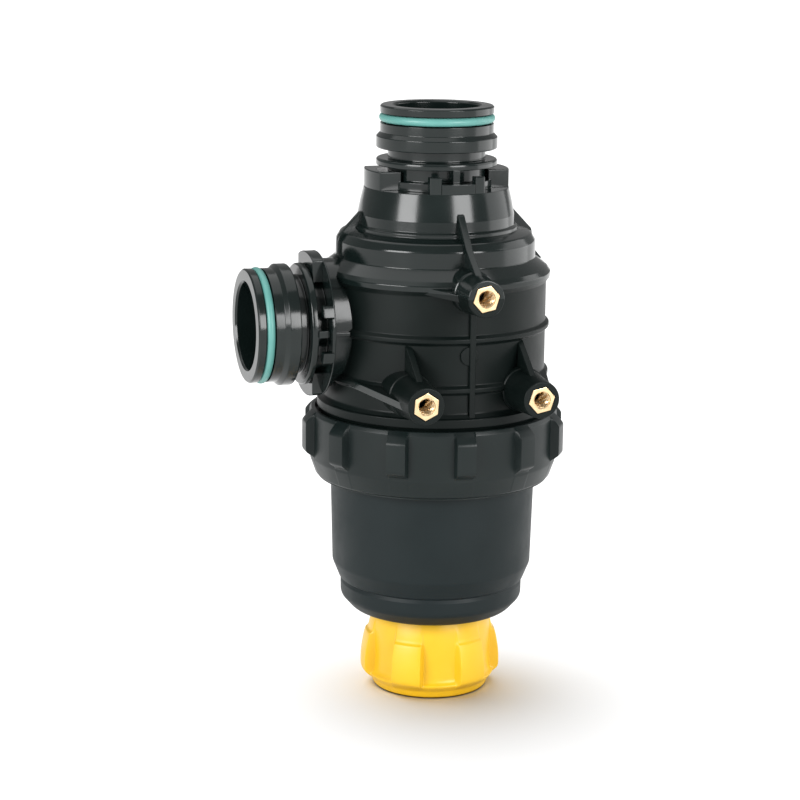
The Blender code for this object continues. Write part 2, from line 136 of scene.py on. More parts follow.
def rounded(points, closed=False, pieces=4):
    """Turn (radius, height, fillet) corners into a smooth outline; a missing fillet stays sharp."""
    outline = []
    count = len(points)
    for index, point in enumerate(points):
        fillet = point[2] if len(point) > 2 else 0.0
        at_end = not closed and index in (0, count - 1)
        if fillet <= 0.0 or at_end:
            outline.append((point[0], point[1]))
            continue
        here = Vector((point[0], point[1]))
        before = Vector(points[index - 1][:2]) - here
        after = Vector(points[(index + 1) % count][:2]) - here
        angle = before.angle(after)
        if angle > math.radians(175.0):
            outline.append((point[0], point[1]))
            continue
        reach = fillet / math.tan(angle / 2.0)
        reach = min(reach, before.length * 0.47, after.length * 0.47)
        start = here + before.normalized() * reach
        end = here + after.normalized() * reach
        for step in range(pieces + 1):
            share = step / pieces
            bent = start.lerp(here, share).lerp(here.lerp(end, share), share)
            outline.append((bent.x, bent.y))
    return outline


def extruded(name, outline, depth):
    mesh = bmesh.new()
    near = [mesh.verts.new(Vector(point) * MM) for point in outline]
    far = [mesh.verts.new((Vector(point) + Vector(depth)) * MM) for point in outline]
    mesh.faces.new(near)
    mesh.faces.new(list(reversed(far)))
    for index in range(len(near)):
        after = (index + 1) % len(near)
        mesh.faces.new((near[after], near[index], far[index], far[after]))
    return object_from(name, mesh)


def block(name, low, high):
    corners = (
        (low[0], low[1], low[2]),
        (high[0], low[1], low[2]),
        (high[0], high[1], low[2]),
        (low[0], high[1], low[2]),
    )
    return extruded(name, corners, (0.0, 0.0, high[2] - low[2]))


def web_in_x(name, outline, x_centre, thickness):
    points = [(x_centre - thickness / 2.0, y, z) for y, z in outline]
    return extruded(name, points, (thickness, 0.0, 0.0))


def web_in_y(name, outline, thickness):
    points = [(x, -thickness / 2.0, z) for x, z in outline]
    return extruded(name, points, (0.0, thickness, 0.0))


def applied(item):
    """Replace the object's mesh with what its modifiers make of it."""
    bpy.context.view_layer.update()
    graph = bpy.context.evaluated_depsgraph_get()
    result = bpy.data.meshes.new_from_object(item.evaluated_get(graph))
    item.modifiers.clear()
    item.data = result
    return item


def eased(item, width, segments=3, angle=30.0):
    """Round the object's edges; width in millimetres."""
    change = item.modifiers.new("ease", "BEVEL")
    change.width = width * MM
    change.segments = segments
    change.limit_method = "ANGLE"
    change.angle_limit = math.radians(angle)
    change.use_clamp_overlap = True
    return applied(item)


def placed(item, matrix):
    item.data.transform(matrix)
    return item


def combine(target, others, operation):
    for other in others:
        change = target.modifiers.new(other.name, "BOOLEAN")
        change.operation = operation
        change.solver = "MANIFOLD"
        change.object = other
    applied(target)
    for other in others:
        bpy.data.objects.remove(other, do_unlink=True)
    return target


def smooth(item, angle=32.0):
    item.data.polygons.foreach_set("use_smooth", [True] * len(item.data.polygons))
    item.data.set_sharp_from_angle(angle=math.radians(angle))
    change = item.modifiers.new("even_shading", "WEIGHTED_NORMAL")
    change.keep_sharp = True
    change.weight = 70
    return item


PIECES = []


def finished(item, body, slot_name, surface, *nodes):
    """Give the piece its surface, put it under its CAD body and hide the CAD nodes it replaces."""
    item.data.materials.clear()
    item.data.materials.append(surface)
    smooth(item)
    PIECES.append(item)
    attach(item, body)
    if nodes:
        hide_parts(*nodes)
    return item


def interpolated(table, value):
    """Smooth value through a table of (height, radius) pairs with rising heights."""
    if value <= table[0][0]:
        return table[0][1]
    if value >= table[-1][0]:
        return table[-1][1]
    index = 0
    while table[index + 1][0] < value:
        index += 1
    h0, r0 = table[index]
    h1, r1 = table[index + 1]
    slope = (r1 - r0) / (h1 - h0)
    slope0 = slope
    slope1 = slope
    if index > 0:
        back = (r0 - table[index - 1][1]) / (h0 - table[index - 1][0])
        slope0 = (back + slope) / 2.0 if back * slope > 0.0 else 0.0
    if index + 2 < len(table):
        ahead = (table[index + 2][1] - r1) / (table[index + 2][0] - h1)
        slope1 = (ahead + slope) / 2.0 if ahead * slope > 0.0 else 0.0
    share = (value - h0) / (h1 - h0)
    span = h1 - h0
    return (
        r0 * (2 * share**3 - 3 * share**2 + 1)
        + slope0 * span * (share**3 - 2 * share**2 + share)
        + r1 * (-2 * share**3 + 3 * share**2)
        + slope1 * span * (share**3 - share**2)
    )


def smoothstep(low, high, value):
    share = min(max((value - low) / (high - low), 0.0), 1.0)
    return share * share * (3.0 - 2.0 * share)


def thread_ridge(height, angle, pitch, start, end):
    """0 to 1: how far a right-handed thread's crest stands out at this place."""
    phase = (height / pitch - angle / (2.0 * math.pi)) % 1.0
    crest = smoothstep(0.16, 0.30, phase) * (1.0 - smoothstep(0.62, 0.80, phase))
    run_in = smoothstep(start, start + pitch * 0.5, height)
    run_out = 1.0 - smoothstep(end - pitch * 0.5, end, height)
    return crest * (run_in * run_out)


def threaded_heights(start, end, step=0.5):
    count = int(round((end - start) / step))
    return [start + (end - start) * index / count for index in range(count + 1)]


# ------------------------------------------------------------------ materials


def new_material(name):
    surface = bpy.data.materials.new(name)
    surface.use_nodes = True
    tree = surface.node_tree
    return surface, tree, tree.nodes["Principled BSDF"]


def noise(tree, scale, detail=2.0):
    """Noise in object space, scale in waves per metre."""
    place = tree.nodes.new("ShaderNodeTexCoord")
    texture = tree.nodes.new("ShaderNodeTexNoise")
    texture.inputs["Scale"].default_value = scale
    texture.inputs["Detail"].default_value = detail
    tree.links.new(place.outputs["Object"], texture.inputs["Vector"])
    return texture.outputs["Fac"]


def mapped(tree, source, low, high, from_low=0.3, from_high=0.7):
    span = tree.nodes.new("ShaderNodeMapRange")
    span.inputs["From Min"].default_value = from_low
    span.inputs["From Max"].default_value = from_high
    span.inputs["To Min"].default_value = low
    span.inputs["To Max"].default_value = high
    tree.links.new(source, span.inputs["Value"])
    return span.outputs["Result"]


def tinted(tree, source, dark, light):
    mix = tree.nodes.new("ShaderNodeMix")
    mix.data_type = "RGBA"
    mix.inputs["A"].default_value = (*dark, 1.0)
    mix.inputs["B"].default_value = (*light, 1.0)
    tree.links.new(source, mix.inputs["Factor"])
    return mix.outputs["Result"]


def add_bump(tree, shader, source, distance, strength):
    bump = tree.nodes.new("ShaderNodeBump")
    bump.inputs["Distance"].default_value = distance
    bump.inputs["Strength"].default_value = strength
    tree.links.new(source, bump.inputs["Height"])
    tree.links.new(bump.outputs["Normal"], shader.inputs["Normal"])


def moulded(name, dark, light, roughness, grain=2600.0, grain_depth=0.00003, strength=0.35):
    """Injection-moulded plastic: slight mottling, uneven gloss (lowest, highest) and a fine skin."""
    surface, tree, shader = new_material(name)
    colour = tinted(tree, mapped(tree, noise(tree, 38.0), 0.0, 1.0), dark, light)
    tree.links.new(colour, shader.inputs["Base Color"])
    rough = mapped(tree, noise(tree, 75.0, 4.0), *roughness)
    tree.links.new(rough, shader.inputs["Roughness"])
    add_bump(tree, shader, noise(tree, grain, 3.0), grain_depth, strength)
    return surface


def set_specular(surface, level):
    surface.node_tree.nodes["Principled BSDF"].inputs["Specular IOR Level"].default_value = level
    return surface


def head_materials():
    """Black glass-filled plastic: polished neck and ports, satin walls lower down."""
    dark, light = (0.0038, 0.0070, 0.0065), (0.0056, 0.0096, 0.0090)
    polished = moulded("head_polished", dark, light, (0.13, 0.20), 1500.0, 0.00002, 0.2)
    dark, light = (0.0020, 0.0042, 0.0037), (0.0034, 0.0060, 0.0055)
    satin = moulded("head_satin", dark, light, (0.36, 0.46), 1700.0, 0.00003, 0.3)
    return set_specular(polished, 0.40), set_specular(satin, 0.15)


POLISHED_ABOVE, PORT_OUTSIDE, PORT_END, PORT_ABOVE = 198.8, 54.6, -40.0, 146.1


def is_polished(centre):
    """The dome, the neck and both ports are polished; centre is a face's middle in metres."""
    x, y, z = centre / MM
    beside_body = x < PORT_END and math.hypot(x, y) > PORT_OUTSIDE and z > PORT_ABOVE
    return z > POLISHED_ABOVE or beside_body


def rubber(name, dark, light, roughness):
    surface, tree, shader = new_material(name)
    colour = tinted(tree, mapped(tree, noise(tree, 120.0), 0.0, 1.0), dark, light)
    tree.links.new(colour, shader.inputs["Base Color"])
    rough = mapped(tree, noise(tree, 200.0), roughness - 0.05, roughness + 0.07)
    tree.links.new(rough, shader.inputs["Roughness"])
    add_bump(tree, shader, noise(tree, 3000.0), 0.00002, 0.2)
    return surface


def metal(name, dark, light, rough_low, rough_high):
    surface, tree, shader = new_material(name)
    colour = tinted(tree, mapped(tree, noise(tree, 260.0), 0.0, 1.0), dark, light)
    tree.links.new(colour, shader.inputs["Base Color"])
    rough = mapped(tree, noise(tree, 500.0, 3.0), rough_low, rough_high)
    tree.links.new(rough, shader.inputs["Roughness"])
    shader.inputs["Metallic"].default_value = 1.0
    add_bump(tree, shader, noise(tree, 1800.0), 0.00001, 0.3)
    return surface


# ------------------------------------------------------------------ head

TOP_PORT = Matrix.Translation((0.0, 0.0, TOP_FACE_Z * MM))
SIDE_PORT = (
    Matrix.Translation((SIDE_FACE_X * MM, 0.0, SIDE_PORT_Z * MM))
    @ Matrix.Rotation(math.radians(-90.0), 4, "Y")
)
TO_FRONT = Matrix.Rotation(math.radians(90.0), 4, "X")
CROWN_R, CROWN_WALL_R = 33.4, 30.6
STEP_R, STEP_TOP = 25.8, 33.4
CROWN_FLOOR = {"top": 37.2, "side": 33.0}
WINDOW_WALL = {"top": 4.4, "side": 0.9}
BLOCK_TOP, EAR_TOP = {"top": 29.8, "side": 28.4}, {"top": 28.9, "side": 28.2}
BLOCK_FROM, BLOCK_TO, EAR_HALF_WIDTH = 8.0, 13.0, 12.8
PIPE_R, PIPE_HALF_HEIGHT = 22.7, 29.8


def nipple_corners(label):
    """Port outline from its end face back to the rim of the crown's floor, with fillets."""
    floor = -CROWN_FLOOR[label]
    corners = [
        (25.5, 0.0, 0.35),
        (26.2, -0.7, 0.3),
        (26.1, -3.6, 0.25),
        (22.6, -3.6, 0.3),
        (22.6, -8.2, 0.3),
        (26.1, -8.2, 0.25),
        (26.1, -12.4, 0.5),
        (27.9, -14.3, 0.6),
        (27.9, -19.6, 0.8),
        (22.5, -19.6, 0.5),
        (22.5, -24.2, 0.5),
        (27.9, -24.2, 1.3),
        (27.9, -27.4, 0.5),
        (22.5, -27.4, 0.3),
    ]
    if label == "top":
        corners += [(22.5, -STEP_TOP, 0.5), (STEP_R, -STEP_TOP, 0.3), (STEP_R, floor, 0.4)]
    else:
        corners.append((22.5, floor, 0.5))
    return corners + [(CROWN_R, floor, 0.35)]


def outer_arc(x_from, x_to, pieces):
    radius = CROWN_R - 0.05
    start = math.asin(x_from / radius)
    end = math.asin(x_to / radius)
    points = []
    for step in range(pieces + 1):
        turn = start + (end - start) * step / pieces
        points.append((radius * math.sin(turn), -radius * math.cos(turn)))
    return points


def crown_pieces(label):
    """Window walls, guard blocks, ears and window ribs of one crown."""
    pieces = []
    floor = -CROWN_FLOOR[label] - 0.3
    for quarter in (0, 2):
        turn = Matrix.Rotation(math.radians(90.0 * quarter), 4, "Z")
        plan = [(-7.9, -CROWN_WALL_R)] + outer_arc(-7.9, 7.9, 12) + [(7.9, -CROWN_WALL_R)]
        outline = [(x, y, floor) for x, y in plan]
        part = extruded(f"{label}_window_{quarter}", outline, (0.0, 0.0, WINDOW_WALL[label] + 0.3))
        pieces.append(placed(eased(part, 0.3), turn))
        for side in (-1.0, 1.0):
            inner, outer = side * BLOCK_FROM, side * BLOCK_TO
            plan = [(inner, -27.0)] + outer_arc(inner, outer, 5) + [(outer, -27.0)]
            outline = [(x, y, floor) for x, y in plan]
            rise = (0.0, 0.0, -BLOCK_TOP[label] - floor)
            part = extruded(f"{label}_block_{quarter}_{side}", outline, rise)
            pieces.append(placed(eased(part, 0.4), turn))
        rib = block(f"{label}_rib_{quarter}", (-1.6, -29.3, floor), (1.6, -21.0, -27.0))
        pieces.append(placed(eased(rib, 0.25), turn))
        plan = [(-EAR_HALF_WIDTH, -20.8)] + outer_arc(-EAR_HALF_WIDTH, EAR_HALF_WIDTH, 20)
        plan.append((EAR_HALF_WIDTH, -20.8))
        outline = [(x, y, floor) for x, y in plan]
        ear = extruded(f"{label}_ear_{quarter}", outline, (0.0, 0.0, -EAR_TOP[label] - floor))
        pieces.append(placed(eased(ear, 0.5), turn @ Matrix.Rotation(math.radians(90.0), 4, "Z")))
    return pieces


def rib_corners(height):
    return [
        (51.7, height + 2.1, 0.9),
        (53.4, height + 0.8, 0.8),
        (53.4, height - 0.9, 0.8),
        (51.7, height - 2.3, 0.9),
    ]


SKIRT_END, THREAD_TOP = 116.0, 135.2
OUTER_ABOVE_THREAD = rounded(
    [(0.0, TOP_FACE_Z)]
    + [(corner[0], TOP_FACE_Z + corner[1], corner[2]) for corner in nipple_corners("top")]
    + [
        (33.6, 239.0, 0.3),
        (35.0, 233.2, 0.7),
        (36.15, 227.3, 0.9),
        (36.45, 222.6, 0.5),
        (37.9, 221.9, 0.5),
        (37.9, 220.3, 0.4),
        (44.2, 218.7, 2.0),
        (46.2, 215.4, 2.4),
        (46.3, 207.6, 0.9),
        (52.0, 203.2, 1.0),
        (53.6, 201.2, 0.9),
        (53.4, 198.8, 0.9),
        (51.7, 196.6, 1.0),
    ]
    + rib_corners(176.5)
    + rib_corners(153.9)
    + [
        (52.0, 143.0, 1.6),
        (53.4, 141.3, 0.5),
        (54.6, 140.9, 0.5),
        (54.6, 136.9, 0.4),
        (52.9, 136.9, 0.3),
        (52.9, 136.0),
    ]
)


def head_outer(angle):
    points = list(OUTER_ABOVE_THREAD)
    for height in reversed(threaded_heights(SKIRT_END + 0.8, THREAD_TOP)):
        ridge = thread_ridge(height, angle, NUT_THREAD_PITCH, SKIRT_END + 0.8, THREAD_TOP)
        points.append((52.5 + 1.45 * ridge, height))
    points += [(51.8, SKIRT_END), (0.0, SKIRT_END)]
    return points


HEAD_INSIDE = rounded(
    [
        (0.0, TOP_FACE_Z + 1.0),
        (21.5, TOP_FACE_Z + 1.0),
        (20.0, TOP_FACE_Z - 0.9, 0.6),
        (20.0, 199.0),
        (23.6, 199.0),
        (23.6, 235.0, 1.5),
        (30.6, 235.0, 1.5),
        (32.0, 217.0, 2.0),
        (42.2, 213.0, 3.0),
        (42.6, 206.0, 2.0),
        (47.6, 200.0, 2.0),
        (47.6, 129.0, 0.5),
        (49.0, 127.6, 0.5),
        (49.0, 115.0),
        (0.0, 115.0),
    ]
)


def boss(label, x, z):
    upper = abs(x) < 1.0
    foot_r, foot_y, root = (9.1, 57.5, 45.0) if upper else (9.7, 50.0, 33.0)
    profile = rounded(
        [
            (0.0, -BOSS_FACE_Y),
            (8.35, -BOSS_FACE_Y, 0.6),
            (foot_r, foot_y, 0.6),
            (foot_r + 0.6, foot_y - 0.5, 0.4),
            (foot_r + 0.8, root),
            (0.0, root),
        ]
    )
    item = lathe(label, profile, 72)
    return placed(item, Matrix.Translation((x * MM, 0.0, z * MM)) @ TO_FRONT)


def side_web(node, sign):
    """A bar that carries the body's rib across to the side of a boss, drawn as a skewed box."""
    if node == "insert_upper":
        wall = [(26.0, -43.0, 198.4, 201.6), (18.0, -44.0, 198.4, 201.6)]
        end = [(7.9, -61.0, 195.6, 198.6), (2.0, -61.0, 195.6, 198.6)]
    else:
        wall = [(48.6, -18.6, 152.2, 155.6), (34.0, -33.4, 152.2, 155.6)]
        end = [(34.7, -66.0, 149.0, 152.2), (28.0, -66.0, 149.0, 152.2)]
    mesh = bmesh.new()
    for across, along, low, high in wall + end:
        mesh.verts.new((sign * across * MM, along * MM, low * MM))
        mesh.verts.new((sign * across * MM, along * MM, high * MM))
    bmesh.ops.convex_hull(mesh, input=mesh.verts)
    return eased(object_from(f"side_web_{node}_{sign}", mesh), 0.4)


def hexagon(flats, turn_degrees, x, z, y):
    corner_r = flats / math.sqrt(3.0)
    points = []
    for side in range(6):
        turn = math.radians(turn_degrees + 60.0 * side)
        points.append((x + corner_r * math.sin(turn), y, z + corner_r * math.cos(turn)))
    return points


INSERT_TURN = {"insert_upper": 18.0, "insert_lower_left": 4.0, "insert_lower_right": 18.0}
INSERT_FLATS, POCKET_FLATS, POCKET_DEPTH = 11.0, 11.5, 14.5


def build_head(polished, satin):
    head = turned("head_moulding", head_outer, even_angles(AROUND), closed=False)
    side_corners = nipple_corners("side") + [
        (CROWN_R, -33.7, 0.35),
        (PIPE_R - 0.2, -33.9),
        (PIPE_R - 0.2, -50.0),
        (0.0, -50.0),
    ]
    additions = [placed(lathe("side_port", rounded([(0.0, 0.0)] + side_corners), 144), SIDE_PORT)]
    additions += [placed(piece, TOP_PORT) for piece in crown_pieces("top")]
    additions += [placed(piece, SIDE_PORT) for piece in crown_pieces("side")]
    pipe = lathe("oval_pipe", [(0.0, -33.3), (PIPE_R, -33.3), (PIPE_R, -50.0), (0.0, -50.0)], 144)
    additions.append(placed(pipe, SIDE_PORT @ Matrix.Diagonal((PIPE_HALF_HEIGHT / PIPE_R, 1.0, 1.0, 1.0))))
    shoulder = [(34.0, 229.6), (37.2, 228.4), (46.7, 218.4), (47.6, 215.0), (47.6, 209.5)]
    foot = [(51.0, 205.6), (52.4, 204.0), (45.0, 203.0), (34.0, 218.0)]
    for sign in (-1.0, 1.0):
        outline = [(sign * x, z) for x, z in shoulder + foot]
        additions.append(eased(web_in_y(f"dome_web_{sign}", outline, 3.0), 0.45))
    outline = [(34.5, 231.0), (37.4, 229.0), (47.4, 217.6), (48.8, 208.0), (45.0, 205.5), (34.5, 216.0)]
    additions.append(eased(web_in_x("rear_web", outline, 0.0, 3.0), 0.45))
    for node, (x, _, z) in INSERT_PLACES.items():
        additions.append(boss("boss_" + node, x, z))
        if node == "insert_upper":
            outline = [(-34.5, 231.2), (-36.6, 230.6), (-48.2, 217.2), (-63.0, 206.8), (-69.5, 204.0)]
            outline += [(-58.0, 199.0), (-45.0, 205.0), (-34.5, 216.0)]
            additions.append(eased(web_in_x("web_" + node, outline, 0.0, 3.2), 0.45))
        else:
            outline = [(-42.6, 174.5), (-44.8, 173.6), (-65.0, 158.6), (-56.0, 152.4), (-42.6, 152.4)]
            additions.append(eased(web_in_x("web_" + node, outline, x * 0.985, 3.0), 0.45))
    additions += [side_web("insert_lower_left", -1.0), side_web("insert_lower_right", 1.0)]
    additions.append(side_web("insert_upper", -1.0))
    additions.append(eased(block("front_rib", (-0.5, -53.4, 137.6), (2.3, -50.0, 191.0)), 0.4))
    additions.append(eased(block("rear_rib", (-1.4, 50.0, 137.6), (1.4, 53.0, 199.0)), 0.4))
    additions.append(eased(block("pipe_rib", (-57.0, -23.8, 175.3), (-42.0, -15.0, 177.3)), 0.4))
    pad = lathe("gate_pad", rounded([(0.0, 52.6), (4.2, 52.6, 0.3), (4.2, 49.0), (0.0, 49.0)]), 48)
    additions.append(placed(pad, Matrix.Translation((-0.4 * MM, 0.0, 169.4 * MM)) @ TO_FRONT))
    combine(head, additions, "UNION")
    side_bore = rounded(
        [
            (0.0, 1.0),
            (21.5, 1.0),
            (20.0, -0.9, 0.6),
            (20.0, -58.0),
            (0.0, -58.0),
        ]
    )
    cuts = [lathe("inside", HEAD_INSIDE, 144), placed(lathe("side_bore", side_bore, 128), SIDE_PORT)]
    for node, (x, _, z) in INSERT_PLACES.items():
        outline = hexagon(POCKET_FLATS, INSERT_TURN[node], x, z, BOSS_FACE_Y - 1.0)
        cuts.append(extruded("pocket_" + node, outline, (0.0, POCKET_DEPTH + 1.0, 0.0)))
    combine(head, cuts, "DIFFERENCE")
    finished(head, "head", "filter_head", polished, "filter_head")
    head.data.materials.append(satin)
    for face in head.data.polygons:
        face.material_index = 0 if is_polished(face.center) else 1
    return head


def build_insert(node, surface):
    """Hexagonal brass insert with a chamfered, threaded M8 hole."""
    x, _, z = INSERT_PLACES[node]
    low, high = box_mm(node)
    outline = hexagon(INSERT_FLATS, INSERT_TURN[node], x, z, low[1])
    item = extruded("brass_" + node, outline, (0.0, high[1] - low[1], 0.0))
    eased(item, 0.35, 2)
    face = -low[1]

    def hole(angle):
        points = [(0.0, face + 0.6), (4.3, face + 0.6), (4.0, face - 0.1)]
        for height in reversed(threaded_heights(face - 12.6, face - 0.4, 0.16)):
            ridge = thread_ridge(height, angle, INSERT_THREAD_PITCH, face - 13.2, face + 0.2)
            points.append((3.55 + 0.35 * ridge, height))
        points += [(3.2, face - 15.0), (0.0, face - 15.0)]
        return points

    tap = turned("tap", hole, even_angles(40), closed=False)
    placed(tap, Matrix.Translation((x * MM, 0.0, z * MM)) @ TO_FRONT)
    combine(item, [tap], "DIFFERENCE")
    return finished(item, "head", node, surface, node)


def round_ring(name, centre_r, section_r, height, steps=128, sides=20):
    section = []
    for side in range(sides):
        turn = 2.0 * math.pi * side / sides
        section.append((centre_r + section_r * math.cos(turn), height + section_r * math.sin(turn)))
    return lathe(name, section, steps, closed=True)


# ------------------------------------------------------------------ ring nut

LUG_COUNT, LUG_PHASE = 12, -3.7


def repeated(count, phase, offsets):
    """The same angles, in degrees off each centre, round a whole turn."""
    period = 360.0 / count
    return [math.radians(phase + turn * period + offset) for turn in range(count) for offset in offsets]


def off_centre(angle, count, phase):
    """Degrees from the nearest of the evenly spaced centres."""
    period = 360.0 / count
    return (math.degrees(angle) - phase + period / 2.0) % period - period / 2.0


def build_ring_nut(surface):
    flank = (3.6, 4.1, 4.35, 4.6, 4.9, 5.2)
    offsets = [-value for value in reversed(flank)] + [-1.8, 0.0, 1.8]
    offsets += list(flank) + [7.5, 11.0, 15.0, 19.0, 22.5]
    angles = repeated(LUG_COUNT, LUG_PHASE, offsets)
    top, bottom = NUT_HIGH[2], NUT_LOW[2]
    plain = rounded(
        [
            (56.4, top),
            (57.2, top, 0.5),
            (58.1, top - 1.6, 0.9),
            (58.1, 113.0, 0.8),
            (55.5, 105.2, 0.8),
            (54.3, 104.3, 0.2),
            (54.4, 103.7, 0.3),
            (53.9, bottom, 0.5),
            (52.0, bottom),
        ],
        pieces=5,
    )
    raised = [(112.8, 58.1), (114.0, 58.2), (114.7, 58.9), (116.6, 61.5), (117.4, 62.0), (118.4, 62.1)]
    raised += [(130.0, 62.1), (130.8, 62.0), (131.6, 61.5), (133.8, 59.6), (134.5, 58.8), (135.2, 57.9)]
    levels = [112.4, 113.0, 113.6, 114.0, 114.4, 114.8, 115.6, 116.4, 117.0, 117.6, 118.4]
    levels += [121.0, 124.0, 127.0, 130.0, 130.6, 131.2, 131.8, 132.6, 133.4, 134.0, 134.4]
    plain_by_height = sorted((height, radius) for radius, height in plain[1:-1])
    above = [point for point in plain if point[1] > 134.6]
    below = [point for point in plain if point[1] < 112.2]

    def profile_at(angle):
        weight = 1.0 - smoothstep(4.05, 4.95, abs(off_centre(angle, LUG_COUNT, LUG_PHASE)))
        points = list(above)
        for height in reversed(levels):
            base = interpolated(plain_by_height, height)
            lug = max(interpolated(raised, height), base)
            points.append((base + weight * (lug - base), height))
        points += below
        points += [(49.2, bottom), (48.7, bottom + 0.5), (48.7, 107.0), (49.0, 107.4), (54.4, 107.4)]
        for height in threaded_heights(109.0, top - 1.6):
            ridge = thread_ridge(height, angle, NUT_THREAD_PITCH, 110.0, top - 2.0)
            points.append((55.7 - 1.3 * ridge, height))
        points.append((55.6, top))
        return points

    nut = turned("ring_nut_moulding", profile_at, angles, closed=True)
    return finished(nut, "ring_nut", "ring_nut", surface, "ring_nut")


# ------------------------------------------------------------------ bowl


def build_bowl(surface):
    outside = [
        (43.6, 126.5, 0.4),
        (48.0, 126.5, 0.4),
        (48.6, 125.9, 0.3),
        (48.6, 122.9, 0.2),
        (45.9, 122.9, 0.3),
        (45.9, 119.5, 0.3),
        (48.6, 119.5, 0.2),
        (48.6, 115.5, 0.3),
        (54.0, 115.5, 0.4),
        (54.0, 107.8, 0.4),
        (48.0, 107.8, 0.6),
        (47.9, 97.0),
        (47.0, 61.6, 5.0),
        (43.9, 53.9, 0.5),
        (42.5, 53.0, 0.3),
        (43.1, 51.2, 0.6),
        (43.0, 45.0, 4.5),
        (37.2, 38.6, 6.0),
        (23.4, 38.6, 0.6),
        (22.2, 37.4, 0.3),
    ]
    inside = [
        (21.0, 8.0, 0.4),
        (18.0, 8.0, 0.4),
        (18.0, 42.4, 1.0),
        (35.6, 43.2, 3.0),
        (39.6, 47.4, 3.0),
        (39.6, 60.0, 0.4),
        (43.6, 61.0, 0.5),
    ]
    upper = rounded([(43.6, 90.0)] + outside + [(22.0, 36.8)], pieces=7)
    lower = rounded([(22.0, 9.0)] + inside + [(43.6, 90.0)], pieces=5)

    def profile_at(angle):
        points = list(upper)
        for height in reversed(threaded_heights(9.4, 36.0)):
            ridge = thread_ridge(height, angle, CAP_THREAD_PITCH, 10.0, 34.0)
            points.append((21.4 + 1.1 * ridge, height))
        points += lower[1:-1]
        return points

    bowl = turned("bowl_moulding", profile_at, even_angles(160), closed=True)
    return finished(bowl, "bowl", "bowl", surface, "bowl")


# ------------------------------------------------------------------ drain cap

CAP_LOBES, CAP_PHASE = 6, 21.5
CAP_FOOT = [(0.0, 26.4), (0.35, 27.0), (1.0, 27.4), (2.2, 27.9), (3.6, 28.5)]
LOBE_OUTLINE = CAP_FOOT + [(4.6, 29.6), (6.0, 31.4), (7.2, 32.6), (8.3, 33.05), (11.7, 33.2), (15.8, 33.0)]
LOBE_OUTLINE += [(20.7, 32.3), (25.7, 31.1), (26.3, 30.8), (26.9, 30.1), (27.8, 29.6), (29.7, 29.2)]
LOBE_OUTLINE += [(33.5, 28.1), (37.6, 27.0)]
RECESS_OUTLINE = CAP_FOOT + [(4.6, 29.4), (5.6, 30.2), (6.4, 30.6), (6.9, 30.4), (7.5, 29.6), (8.3, 29.0)]
RECESS_OUTLINE += [(12.0, 28.5), (16.0, 28.3), (20.7, 28.4), (25.7, 28.6), (29.7, 28.5), (33.5, 28.0)]
RECESS_OUTLINE.append((37.6, 27.0))


def build_drain_cap(surface):
    flank = (9.0, 12.0, 12.6, 13.1, 13.6, 14.1, 14.6, 15.1, 15.6, 17.5)
    offsets = [-value for value in reversed(flank)] + [-4.5, 0.0, 4.5]
    offsets += list(flank) + [22.0, 26.0, 30.0, 34.0, 38.0]
    angles = repeated(CAP_LOBES, CAP_PHASE, offsets)
    levels = [0.0, 0.15, 0.35, 0.6, 1.0, 1.6, 2.2, 2.8, 3.4, 4.0, 4.6, 5.1, 5.6, 6.0, 6.4, 6.7, 7.0, 7.3]
    levels += [7.6, 8.0, 8.5, 9.2, 10.2, 12.0, 13.6, 16.0, 18.4, 20.7, 23.2, 25.2, 25.8, 26.1, 26.4]
    levels += [26.7, 27.0, 27.4, 27.9, 28.6, 29.7, 31.6, 33.5, 35.2, 36.6]

    def profile_at(angle):
        weight = 1.0 - smoothstep(12.2, 15.4, abs(off_centre(angle, CAP_LOBES, CAP_PHASE)))
        points = [(0.0, 4.0), (22.2, 4.0), (22.9, 4.7)]
        for height in threaded_heights(9.0, 35.0):
            ridge = thread_ridge(height, angle, CAP_THREAD_PITCH, 12.0, 34.0)
            points.append((23.9 - 0.95 * ridge, height))
        points += [(23.9, 36.4), (24.6, 37.3), (25.2, 37.6), (26.2, 37.6), (26.7, 37.4)]
        for height in reversed(levels):
            recess = interpolated(RECESS_OUTLINE, height)
            lobe = interpolated(LOBE_OUTLINE, height)
            points.append((recess + weight * (lobe - recess), height))
        points += [(26.8, 0.0), (0.0, 0.0)]
        return points

    cap = turned("drain_cap_moulding", profile_at, angles, closed=False)
    return finished(cap, "drain_cap", "drain_cap", surface, "drain_cap")


# ------------------------------------------------------------------ cartridge


def build_cage(surface):
    low, high = box_mm("cartridge_cage")
    bottom, top = low[2], high[2]
    profile = [(35.4, bottom, 0.3), (38.0, bottom, 0.3), (38.0, top, 0.3), (35.4, top, 0.3)]
    cage = lathe("cage_moulding", rounded(profile, closed=True, pieces=2), 128, closed=True)
    windows = []
    rows = 4
    pitch = (top - bottom - 4.0) / rows
    for row in range(rows):
        start = bottom + 4.0 + row * pitch
        for turn in range(4):
            part = block(f"window_{row}_{turn}", (-11.6, -45.0, start), (11.6, 45.0, start + pitch - 4.0))
            windows.append(placed(part, Matrix.Rotation(math.radians(45.0 * turn), 4, "Z")))
    combine(cage, windows, "DIFFERENCE")
    return finished(cage, "cartridge", "cartridge_cage", surface, "cartridge_cage")


